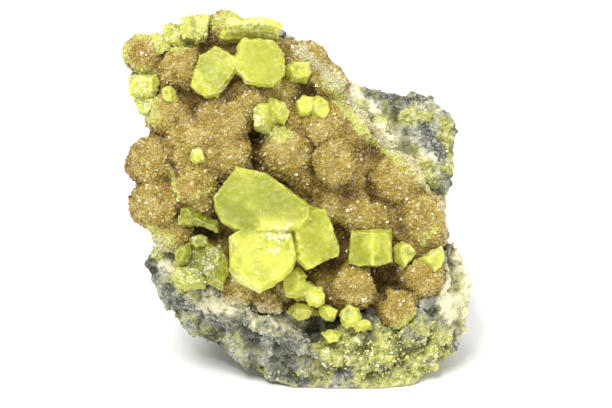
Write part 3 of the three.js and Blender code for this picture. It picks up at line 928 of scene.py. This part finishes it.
class SpecimenDruse(bpy.types.Operator):
    """Rounds the druse balls and grows sugary points all over them"""
    bl_idname = "specimen.druse"
    bl_label = "Druse"

    def execute(self, context):
        sizes = context.scene.specimen_sizes
        balls = merged_copy("druse_crust", "druse_balls")
        shape_by(balls, "REMESH", mode="VOXEL", voxel_size=sizes.druse_grain)
        fill = sizes.druse_fill
        shape_by(balls, "DISPLACE", strength=fill + sizes.druse_swell, mid_level=0)
        shape_by(balls, "REMESH", mode="VOXEL", voxel_size=sizes.druse_grain)
        shape_by(balls, "SMOOTH", factor=0.5, iterations=8)
        shape_by(balls, "DISPLACE", strength=-fill, mid_level=0)
        shape_by(balls, "SMOOTH", factor=0.5, iterations=8)
        spread_strips(balls, "dent", HOLLOWS_IN_DRUSE)
        mark_crowns(balls, DRUSE_CROWNS)
        raise_relief(
            balls,
            [
                (swell, 6, 0.6 * MM), (lumps, 3, 0.5 * MM), (lumps, 1.4, 0.5 * MM),
                (even, 1, -2.2 * MM, "dent"), (even, 1, 1.2 * MM, "crown"),
            ],
            seed=11,
        )
        spread_strips(balls, "sulfur", SULFUR_ON_DRUSE)
        spread_strips(balls, "bleached", CHALK_ON_DRUSE)
        # Glint marks here reach the crust grains that grow on the druse, and paint them brighter as
        # painted highlights.
        spread_strips(balls, "glint", GLINTS)
        mark_hollows(balls, cell=0.8, reach=4, depth=5)
        material = druse_material(context.scene.specimen_colours)
        shapes = [rhomb(1.0), rhomb(1.3)]
        places = face_places(balls)
        long = sizes.point_length
        for name, low, high in DRUSE_FIELDS:
            along = (places[:, 1] >= low) & (places[:, 1] < high)
            store(balls, "chance", along & (places[:, 2] > POINTS_END))
            points = scatter(
                balls, name, shapes, sizes.point_spacing,
                ((0.55 * long, 0.55 * long, 0.5 * long), (long, long, long)),
                math.radians(34), seed=int(high),
            )
            finish_piece(points, "druse", material)
        put_away(shapes)
        finish_piece(balls, "druse", material, "druse_crust")
        return {"FINISHED"}


class SpecimenPlates(bpy.types.Operator):
    """Gives the large tabular sulfur crystals their growth steps and cloudy depth"""
    bl_idname = "specimen.plates"
    bl_label = "Tabular Crystals"

    def execute(self, context):
        sizes = context.scene.specimen_sizes
        colours = context.scene.specimen_colours
        material = sulfur_material(
            colours, "sulfur_tabular_cloudy", colours.sulfur_body, 0.0, 0.3, 6,
        )
        flat = [
            (steps, 8, 0.07 * MM), (swell, 5, 0.1 * MM), (swell, 1.2, 0.02 * MM),
            (chips, 2.4, 0.36 * MM, "rim"), (chips, 0.9, 0.16 * MM, "rim"),
            (chips, 1.1, 0.16 * MM, "glint"), (swell, 3.4, 0.55 * MM, "brink"),
        ]
        ledge = [(layers, 0.8, 0.3 * MM), (swell, 3, 0.3 * MM), (chips, 1.6, 0.2 * MM)]
        for order, node in enumerate(TABULAR):
            grow_crystal(
                node, material, sizes.plate_grain, 20 + order,
                ledge if node == "sulfur_top_ledge" else flat, WEAR,
            )
        return {"FINISHED"}


class SpecimenBlocks(bpy.types.Operator):
    """Gives the small blocky sulfur crystals their broken faces and resinous shine"""
    bl_idname = "specimen.blocks"
    bl_label = "Blocky Crystals"

    def execute(self, context):
        sizes = context.scene.specimen_sizes
        colours = context.scene.specimen_colours
        body = colours.sulfur_small
        cloudy = sulfur_material(colours, "sulfur_blocky_resinous", body, 0.12, 0.2, 2.4)
        glassy = sulfur_material(colours, "sulfur_blocky_glassy", body, 0.3, 0.1, 2.4)
        broken = [
            (swell, 2.6, 0.24 * MM), (steps, 3, 0.1 * MM), (chips, 1.7, 0.12 * MM),
            (chips, 1.3, 0.2 * MM, "rim"), (chips, 1.2, 0.42 * MM, "glint"),
            (lumps, 2.2, 0.7 * MM, "glint"), (swell, 2.2, 0.2 * MM, "brink"),
        ]
        softened = [(swell, 2.2, 0.25 * MM), (lumps, 1.6, 0.2 * MM), (chips, 1.1, 0.12 * MM)]
        blocks = [node for node in sorted(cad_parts) if node.startswith("sulfur_")]
        for order, node in enumerate(blocks):
            if node in TABULAR:
                continue
            grow_crystal(
                node, glassy if node in GLASSY else cloudy, sizes.block_grain, 40 + order,
                softened if node in SOFT else broken, SOFT_WEAR if node in SOFT else WEAR,
            )
        return {"FINISHED"}


def grow_crystal(node, material, grain_size, seed, coats, wear):
    """A sulfur crystal made from its CAD node: edges worn, faces stepped and rippled.

    wear is how many rounds of smoothing its edges get.
    """
    sizes = bpy.context.scene.specimen_sizes
    crystal = merged_copy(node, node.replace("sulfur_", "crystal_"))
    edges = outer_edges(crystal.data, math.radians(32))
    shape_by(
        crystal, "BEVEL", width=sizes.crystal_bevel, segments=2, limit_method="ANGLE",
        angle_limit=math.radians(12),
    )
    shape_by(crystal, "REMESH", mode="VOXEL", voxel_size=grain_size)
    shape_by(crystal, "SMOOTH", factor=0.5, iterations=wear)
    mark_rims(crystal, edges, rim=sizes.rim_width, brink=5 * sizes.rim_width)
    spread_strips(crystal, "glint", GLINTS)
    spread_strips(crystal, "pale", PALE_SULFUR_AND_PAINTED_LIGHT)
    spread_strips(crystal, "green", GREEN_SULFUR_AND_PAINTED_SHADE)
    spread_strips(crystal, "sulfur", SULFUR_ON_CRYSTALS)
    raise_relief(crystal, coats, seed)
    select_only(crystal)
    bpy.ops.object.shade_smooth_by_angle(angle=math.radians(24))
    finish_piece(crystal, "sulfur", material, node)


class SpecimenCrust(bpy.types.Operator):
    """Strews granular sulfur crust over the stone and the edges of the druse"""
    bl_idname = "specimen.crust"
    bl_label = "Sulfur Crust"

    def execute(self, context):
        sizes = context.scene.specimen_sizes
        material = crust_material(context.scene.specimen_colours)
        wide = sizes.crust_grain
        shapes = [
            chip(
                (0.34, (1, 0.7, 0.9)), (0.36, (-1, 0.4, 0.7)), (0.38, (0.2, -1, 0.8)),
                (0.42, (-0.5, 1, 0.2)), (0.36, (0.9, -0.6, 0.1)),
            ),
            chip(
                (0.36, (0.3, 1, 0.5)), (0.34, (-0.8, -1, 0.9)), (0.4, (1, -0.3, 0.6)),
                (0.38, (-1, 0.6, 0.1)),
            ),
            chip(
                (0.38, (0.5, -0.2, 1)), (0.36, (1, -0.7, 0.2)), (0.38, (-0.6, 0.9, 0.5)),
                (0.4, (-0.9, -0.7, 0.1)), (0.42, (0.8, 0.9, 0.3)),
            ),
        ]
        kinds = (
            ("fine", sizes.crust_spacing, 0.4, 1.1, 0.55),
            ("coarse", 3 * sizes.crust_spacing, 1.0, 1.9, 0.2),
        )
        for base, name, seed in CRUSTED:
            surface = bpy.data.objects[base]
            places = face_places(surface)
            cover = stored(surface, "sulfur") + 0.4 * wander(places, 2.4)
            chance = np.clip((cover - 0.5) * 2.4, 0, 1)
            low = vertex_places(surface)[:, 2] < CRUST_START * MM
            chance[low | (places[:, 2] < CRUST_END)] = 0
            for kind, spacing, least, most, share in kinds:
                store(surface, "chance", chance * share)
                grains = scatter(
                    surface, f"{name}_{kind}", shapes, spacing,
                    (Vector((1, 1, 0.8)) * least * wide, Vector((1, 0.9, 0.8)) * most * wide),
                    math.radians(50), seed,
                )
                finish_piece(grains, "sulfur", material)
        put_away(shapes)
        return {"FINISHED"}


class SpecimenStage(bpy.types.Operator):
    """Sets the pale floor, the soft studio light and the camera"""
    bl_idname = "specimen.stage"
    bl_label = "Stage"

    def execute(self, context):
        scene = context.scene
        bpy.ops.mesh.primitive_plane_add(size=8, location=(0, 0, -0.15 * MM))
        floor = context.object
        floor.name = "floor"
        bpy.ops.object.transform_apply(location=True)
        floor.data.materials.append(card_material())
        self.add_sun("key", elevation=58, azimuth=-28, strength=2.3, width=34)
        self.add_sun("fill", elevation=30, azimuth=55, strength=0.7, width=50)
        self.add_sun("back", elevation=45, azimuth=170, strength=0.7, width=50)
        self.add_sun("sparkle", elevation=42, azimuth=-12, strength=0.5, width=2)
        self.add_world(scene)
        self.add_camera(scene)
        scene.view_settings.view_transform = "Standard"
        return {"FINISHED"}

    def add_sun(self, name, elevation, azimuth, strength, width):
        """A far light, width degrees across. Azimuth 0 is the viewer's side, 90 the right."""
        bpy.ops.object.light_add(
            type="SUN",
            rotation=(math.radians(90 - elevation), 0, math.radians(azimuth)),
        )
        light = bpy.context.object
        light.name = name
        light.data.energy = strength
        light.data.angle = math.radians(width)

    def add_world(self, scene):
        """White at the horizon, dimmer above it, so that glossy faces keep their colour."""
        scene.world = bpy.data.worlds.new("studio")
        scene.world.use_nodes = True
        tree = scene.world.node_tree
        direction = add_node(tree, "ShaderNodeTexCoord").outputs["Generated"]
        height = add_node(tree, "ShaderNodeSeparateXYZ", {0: direction}).outputs[2]
        light = band(tree, height, 0.10, 0.22)
        strength = arithmetic(tree, "MULTIPLY_ADD", light, -0.5, 1.0)
        feed(tree, tree.nodes["Background"], {"Color": (1, 1, 1, 1), "Strength": strength})

    def add_camera(self, scene):
        """A long lens that looks square on to the leaning face."""
        aim = FACE @ Vector((1.3, 38.6, 0))
        away = Vector((0, -math.cos(LEAN), math.sin(LEAN)))
        bpy.ops.object.camera_add(
            location=aim + away * 0.8, rotation=(math.pi / 2 - LEAN, 0, 0),
        )
        camera = bpy.context.object
        camera.name = "camera"
        camera.data.sensor_width = 36
        camera.data.lens = 224
        camera.data.clip_start = 0.01
        scene.camera = camera


class SpecimenPanel(bpy.types.Panel):
    """Lists the specimen's pieces in the order in which they are made"""
    bl_idname = "VIEW3D_PT_specimen"
    bl_label = "Native Sulfur"
    bl_space_type = "VIEW_3D"
    bl_region_type = "UI"
    bl_category = "Sulfur"

    def draw(self, context):
        for group in (context.scene.specimen_sizes, context.scene.specimen_colours):
            box = self.layout.box()
            for name in group.bl_rna.properties.keys():
                if name not in ("rna_type", "name"):
                    box.prop(group, name)
        for maker in MAKERS:
            self.layout.operator(maker.bl_idname)


MAKERS = (
    SpecimenStage, SpecimenLimestone, SpecimenDruse, SpecimenPlates, SpecimenBlocks,
    SpecimenCrust,
)
CLASSES = (SpecimenSizes, SpecimenColours, *MAKERS, SpecimenPanel)


def register():
    for kind in CLASSES:
        bpy.utils.register_class(kind)
    bpy.types.Scene.specimen_sizes = bpy.props.PointerProperty(type=SpecimenSizes)
    bpy.types.Scene.specimen_colours = bpy.props.PointerProperty(type=SpecimenColours)


def unregister():
    del bpy.types.Scene.specimen_colours
    del bpy.types.Scene.specimen_sizes
    for kind in reversed(CLASSES):
        bpy.utils.unregister_class(kind)


def main():
    register()
    bpy.ops.specimen.stage()
    bpy.ops.specimen.limestone()
    bpy.ops.specimen.druse()
    bpy.ops.specimen.plates()
    bpy.ops.specimen.blocks()
    bpy.ops.specimen.crust()


if __name__ == "__main__":
    main()
